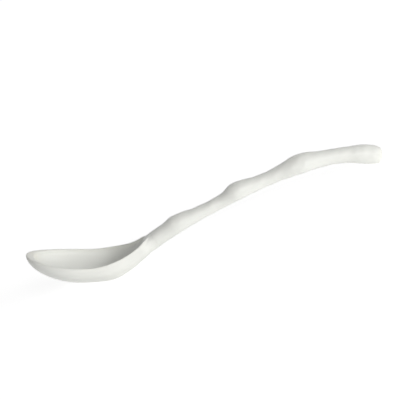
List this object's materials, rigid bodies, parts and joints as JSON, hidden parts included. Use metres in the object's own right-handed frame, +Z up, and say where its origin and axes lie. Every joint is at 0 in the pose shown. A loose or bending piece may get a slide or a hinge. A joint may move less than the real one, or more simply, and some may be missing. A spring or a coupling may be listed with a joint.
{
  "type": "spoon",
  "caption": "Porcelain dessert spoon: an oval hollow bowl that closes into a round neck, with a hand-rolled, knotted twig handle that flares at its cut end.",
  "frame": {"origin": "middle of the spoon's length and width, on the table that it rests on", "axes": "+X from the tip of the bowl to the end of the handle, +Z up from the table, +Y to the side"},
  "size_m": [0.18, 0.0332, 0.0288],
  "materials": {
    "porcelain": "smooth soft-white glaze, gently uneven by hand, with two bare ground spots below",
    "slip": "fired clay slip under the same glaze"
  },
  "bodies": {
    "root": {"bowl": "porcelain", "luting_slip": "slip", "handle": "porcelain"}
  },
  "joints": []
}
